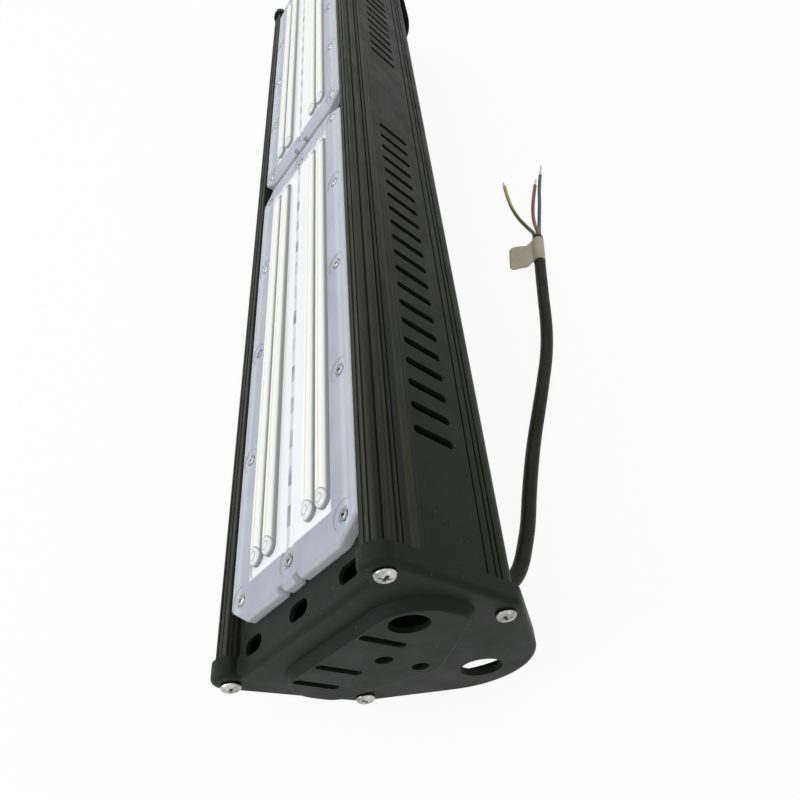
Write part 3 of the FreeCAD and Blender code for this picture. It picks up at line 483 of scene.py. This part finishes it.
def pan_head(points, axis, spin, size, verts, painted_shades, faces):
    """One pan head screw with a cross recess, in the place of a plain CAD screw, with painted shade kept for
    its recess and the side under its head.
    """
    middle = sum(points, Vector()) / len(points)
    heights = [(point - middle).dot(axis) for point in points]
    reaches = [((point - middle) - axis * height).length for point, height in zip(points, heights)]
    top, bottom = max(heights), min(heights)
    radius = max(reaches)
    rim = min(height for height, reach in zip(heights, reaches) if reach > 0.98 * radius)
    shank = 0.5 * radius
    radius *= size
    rise = (top - rim) * size
    side = axis.orthogonal().normalized()
    side.rotate(Matrix.Rotation(spin, 3, axis))
    other = axis.cross(side)
    angles = [2 * math.pi * step / HEAD_STEPS for step in range(HEAD_STEPS)]
    # Each head point's recess share is also kept as painted shade, and the side under the head and the shank
    # get a fixed painted shade.
    recess_depth, underside_shade = 0.62, 0.8
    start = len(verts)
    for ring in range(HEAD_RINGS + 1):
        underside = ring == HEAD_RINGS
        share = 0.995 if underside else ring / (HEAD_RINGS - 1)
        reach = radius * share
        height = rim if underside else rim + rise * dome_height(share)
        for angle in angles:
            x, y = reach * math.cos(angle), reach * math.sin(angle)
            recess_and_shade = cross_recess(x, y, radius)
            verts.append(middle + side * x + other * y + axis * (height - recess_and_shade * rise * recess_depth))
            painted_shades.append(underside_shade if underside else recess_and_shade)
    faces += grid_faces(HEAD_RINGS + 1, HEAD_STEPS, start, closed=True)
    for reach, height in ((shank, rim), (shank, bottom), (0.0, bottom)):
        for angle in angles:
            outward = side * math.cos(angle) + other * math.sin(angle)
            verts.append(middle + outward * reach + axis * height)
            painted_shades.append(underside_shade)
    faces += grid_faces(4, HEAD_STEPS, start + HEAD_RINGS * HEAD_STEPS, closed=True)


def make_screws(name, shader, axis_of, size):
    """All screws of a CAD node as one detailed mesh, which keeps how deep each point is in its recess as
    painted shade, and paints the side under each head dark.
    """
    verts, painted_shades, faces = [], [], []
    for index, points in enumerate(islands(name)):
        middle = sum(points, Vector()) / len(points)
        pan_head(points, axis_of(middle), FIRST_SPIN + NEXT_SPIN * index, size, verts, painted_shades, faces)
    mesh = mesh_from(name + "_detail", verts, faces)
    mesh.attributes.new("recess_and_shade", "FLOAT", "POINT").data.foreach_set("value", painted_shades)
    return new_object(name + "_detail", mesh, "screw", shader, name)


def nurbs(name, points, size):
    """A round cable of a size along a smooth line."""
    curve = bpy.data.curves.new(name, "CURVE")
    curve.dimensions = "3D"
    spline = curve.splines.new("NURBS")
    spline.points.add(len(points) - 1)
    for target, point in zip(spline.points, points):
        target.co = (*point, 1.0)
    spline.order_u = 3
    spline.use_endpoint_u = True
    spline.resolution_u = 16
    curve.bevel_depth = size / 2
    curve.bevel_resolution = 8
    curve.use_fill_caps = True
    return curve


def cable_end():
    """The sheath's end, its direction, and the directions to its left and upwards."""
    end = Vector(CORD_ROUTE[-1])
    ahead = (end - Vector(CORD_ROUTE[-2])).normalized()
    left = Vector((-ahead.y, ahead.x, 0)).normalized()
    return end, ahead, left, ahead.cross(left)


def make_tip(name, shader, end, ahead, bare):
    """Twisted, tinned strands at the end of a core."""
    side = ahead.orthogonal().normalized()
    other = ahead.cross(side)
    rows, columns = 30, 42
    strands, twist, groove = 7, 5.0, 0.2
    slimmer, blunt_from, blunt = 0.12, 0.93, 0.75
    verts = []
    for row in range(rows + 1):
        share = row / rows
        taper = (1.0 if share < blunt_from else blunt) * (1.0 - slimmer * share)
        for column in range(columns):
            angle = 2 * math.pi * column / columns
            strand = 1.0 - groove + groove * abs(math.cos(strands / 2 * (angle - twist * share)))
            outward = side * math.cos(angle) + other * math.sin(angle)
            verts.append(end + ahead * (bare * share) + outward * (TIP_SIZE / 2 * strand * taper))
    faces = grid_faces(rows + 1, columns, closed=True)
    faces.append(tuple(range(columns)))
    faces.append(tuple(rows * columns + column for column in range(columns)))
    return new_object(name, mesh_from(name, verts, faces), "tinned_copper", shader, "core_tips")


def label_edges(aside, inner):
    """How far behind the sheath's end the label starts and stops, at a distance to the side."""
    start, stop = LABEL_START, LABEL_START + LABEL_WIDTH
    if aside <= inner:
        return start, stop
    near = min(1.0, (aside - inner) / FLAG_NECK)
    out = (aside - inner) / (LABEL_REACH - inner)
    return tuple(edge + step * near + lean * out
                 for edge, step, lean in zip((start, stop), FLAG_STEP, FLAG_LEAN))


def make_label(shader):
    """A bare film label wrapped round the sheath, with its ends stuck together as a flag."""
    end, ahead, left, up = cable_end()
    inner = CORD_SIZE / 2 + LABEL_CLEARANCE
    rows, flag_steps, wrap_steps = 20, 12, 28
    slit = 2.0
    flag = [inner + (LABEL_REACH - inner) * step / flag_steps for step in range(1, flag_steps + 1)]
    profile = [(aside, LABEL_GAP) for aside in reversed(flag)]
    for step in range(wrap_steps + 1):
        angle = math.radians(slit + (360.0 - 2 * slit) * step / wrap_steps)
        profile.append((inner * math.cos(angle), inner * math.sin(angle)))
    profile += [(aside, -LABEL_GAP) for aside in flag]

    verts = []
    for row in range(rows + 1):
        share = row / rows
        for aside, lift in profile:
            start, stop = label_edges(aside, inner)
            corner = max(0.0, aside - LABEL_REACH + LABEL_CORNER)
            inset = LABEL_CORNER - math.sqrt(max(0.0, LABEL_CORNER ** 2 - corner ** 2))
            behind = start + inset + (stop - start - 2 * inset) * share
            out = max(0.0, (aside - inner) / (LABEL_REACH - inner))
            sag = FLAG_SAG * out ** 1.6
            curl = FLAG_CURL * math.sin(2.1 * share + 160 * aside) * out
            verts.append(end + left * aside - ahead * behind + up * (lift - sag + curl))
    mesh = mesh_from("label", verts, grid_faces(rows + 1, len(profile)))
    label = new_object("cord_label_film", mesh, "label", shader, "cord_label")
    thick = label.modifiers.new("thickness", "SOLIDIFY")
    thick.thickness = LABEL_WALL
    thick.offset = 1.0
    return label


def make_cord(looks):
    """The mains cord with its label, and its three cores with their bare ends."""
    end, ahead, left, up = cable_end()
    label = make_label(looks["label"])
    sheath = nurbs("cord", CORD_ROUTE, CORD_SIZE)
    cord = new_object("power_cord_sheath", sheath, "sheath", looks["sheath"], "power_cord")
    for name, (length, bare, angle, points) in CORES.items():
        turn = math.radians(angle)
        start = end - left * (CORE_SPREAD * math.cos(turn)) + up * (CORE_SPREAD * math.sin(turn))
        route = [start - ahead * 0.0001, start + ahead * CORE_STRAIGHT] + [Vector(point) for point in points]
        tip = make_tip("tip_" + name, looks["tip"], route[-1], (route[-1] - route[-2]).normalized(), bare)
        node, wire = "core_" + name, nurbs("core", route, CORE_SIZE)
        core = new_object(node + "_wire", wire, node, looks[name], node)


# ---------------------------------------------------------------- studio

def make_floor():
    """White paper that keeps a faint shadow of the light."""
    corners = [(x * FLOOR_HALF, y * FLOOR_HALF, 0) for x, y in ((-1, -1), (1, -1), (1, 1), (-1, 1))]
    mesh = mesh_from("floor", corners, [(0, 1, 2, 3)], smooth=False)
    floor = bpy.data.objects.new("floor", mesh)
    bpy.context.scene.collection.objects.link(floor)
    paper = Shader("paper", Roughness=0.9, Specular_IOR_Level=0.1)
    paper.to("Base Color", paper.ramp(paper.noise(3, 2.0), (0.3, 0.93), (0.7, 0.95)))
    path = paper.add("ShaderNodeLightPath")
    seen = paper.math("MAXIMUM", path.outputs["Is Camera Ray"], path.outputs["Is Glossy Ray"])
    seen = paper.math("MAXIMUM", seen, path.outputs["Is Transmission Ray"])
    glow = paper.add("ShaderNodeEmission")
    blend = paper.add("ShaderNodeMixShader")
    paper.link(paper.math("MULTIPLY", seen, FLOOR_GLOW), blend.inputs["Fac"])
    paper.link(paper.bsdf.outputs[0], blend.inputs[1])
    paper.link(glow.outputs[0], blend.inputs[2])
    paper.link(blend.outputs[0], paper.tree.nodes["Material Output"].inputs["Surface"])
    floor.data.materials.append(paper.material)


def area_light(name, place, target, size, power, color):
    """A round, soft light at a place, turned to a target."""
    light = bpy.data.lights.new(name, "AREA")
    light.shape = "DISK"
    light.size = size
    light.energy = power
    light.color = color
    lamp = bpy.data.objects.new(name, light)
    lamp.location = place
    lamp.rotation_euler = (Vector(target) - Vector(place)).to_track_quat("-Z", "Y").to_euler()
    bpy.context.scene.collection.objects.link(lamp)


def make_world():
    """Soft light from all round, and white where the camera, gloss or clear plastic sees past the floor."""
    world = bpy.data.worlds.new("studio")
    bpy.context.scene.world = world
    world.use_nodes = True
    tree = world.node_tree
    tree.nodes.clear()
    path = tree.nodes.new("ShaderNodeLightPath")
    seen = path.outputs["Is Camera Ray"]
    for ray in ("Is Glossy Ray", "Is Transmission Ray"):
        either = tree.nodes.new("ShaderNodeMath")
        either.operation = "MAXIMUM"
        tree.links.new(seen, either.inputs[0])
        tree.links.new(path.outputs[ray], either.inputs[1])
        seen = either.outputs[0]
    mix = tree.nodes.new("ShaderNodeMixShader")
    tree.links.new(seen, mix.inputs["Fac"])
    for index, (color, strength) in enumerate((ROOM_LIGHT, SEEN_WHITE), start=1):
        shade = tree.nodes.new("ShaderNodeBackground")
        shade.inputs["Color"].default_value = (*color, 1.0)
        shade.inputs["Strength"].default_value = strength
        tree.links.new(shade.outputs[0], mix.inputs[index])
    output = tree.nodes.new("ShaderNodeOutputWorld")
    tree.links.new(mix.outputs[0], output.inputs["Surface"])


def make_camera():
    """The photo's camera, solved from its two vanishing directions."""
    camera_data = bpy.data.cameras.new("camera")
    camera_data.sensor_width = 36.0
    camera_data.lens = CAMERA_LENS
    camera_data.shift_x, camera_data.shift_y = CAMERA_SHIFT
    camera_data.clip_start = 0.01
    camera = bpy.data.objects.new("camera", camera_data)
    turn = Matrix((CAMERA_RIGHT, CAMERA_UP, CAMERA_BACK)).transposed()
    camera.matrix_world = Matrix.Translation(CAMERA_PLACE) @ turn.to_4x4()
    bpy.context.scene.collection.objects.link(camera)
    bpy.context.scene.camera = camera


# ---------------------------------------------------------------- the scene

make_camera()
make_floor()
make_world()
area_light("overhead", (-0.5, 0.2, 1.9), (0, 0, 0), 1.8, 8.0, (1.0, 0.99, 0.96))
area_light("window", (-1.9, -0.4, 1.0), (0, 0, 0.06), 1.4, 24.0, (0.90, 0.95, 1.0))
area_light("front", (1.0, -1.7, 1.1), (0, 0, 0.06), 1.3, 1.5, (1.0, 0.985, 0.96))

looks = {
    "sheath": moulded("sheath", (0.0125, 0.0128, 0.0078), (0.0200, 0.0200, 0.0130), 0.5, 1400, 0.00003, 0.16),
    "label": moulded("label", (0.47, 0.42, 0.30), (0.58, 0.53, 0.41), 0.5, 260, 0.0001, 0.3),
    "earth": earth_core(),
    "live": moulded("core_live", (0.17, 0.065, 0.035), (0.22, 0.088, 0.05), 0.42, 1400, 0.00003),
    "neutral": moulded("core_neutral", (0.038, 0.075, 0.085), (0.055, 0.10, 0.115), 0.42, 1400, 0.00003),
    "tip": plated("tinned_copper", (0.52, 0.48, 0.42), (0.68, 0.66, 0.62), 0.28),
}
make_cord(looks)

zinc = plated("screw", (0.26, 0.26, 0.25), (0.56, 0.56, 0.54), 0.16)
make_screws("cap_screws", zinc, lambda middle: Vector((0, math.copysign(1, middle.y), 0)), CAP_HEAD_SHARE)
make_screws("lens_screws", zinc, lambda middle: OUT_OF_LENS, LENS_HEAD_SHARE)
dress(zinc, "driver_screws")
dress(powder_coat("housing_coat", drawn=True), "housing")
dress(powder_coat("cap_coat", drawn=False), "end_cap_near", "end_cap_far")
dress(lens_plastic(), "lens_near", "lens_far")
dress(led_board(), "led_board_near", "led_board_far")
dress(led_chip(), "led_chips_near", "led_chips_far")
dress(cast_aluminium(), "driver")
strap_steel = plated("plated_steel", (0.48, 0.49, 0.50), (0.60, 0.61, 0.62), 0.3)
dress(strap_steel, "driver_strap_near", "driver_strap_far")
dress(moulded("gasket", (0.10, 0.10, 0.10), (0.14, 0.14, 0.14), 0.7), "lens_gasket_near", "lens_gasket_far",
      "lead_grommet_near", "lead_grommet_far", "gland_seal", "gland_washer")
dress(moulded("lead", (0.60, 0.60, 0.57), (0.70, 0.70, 0.67), 0.5), "led_lead_near", "led_lead_far")
dress(looks["sheath"], "inlet_lead")
dress(moulded("gland_plastic", (0.028, 0.028, 0.028), (0.042, 0.042, 0.042), 0.45, 1000, 0.00005),
      "gland_body", "gland_nut", "gland_locknut")

bpy.context.scene.view_settings.view_transform = "Standard"
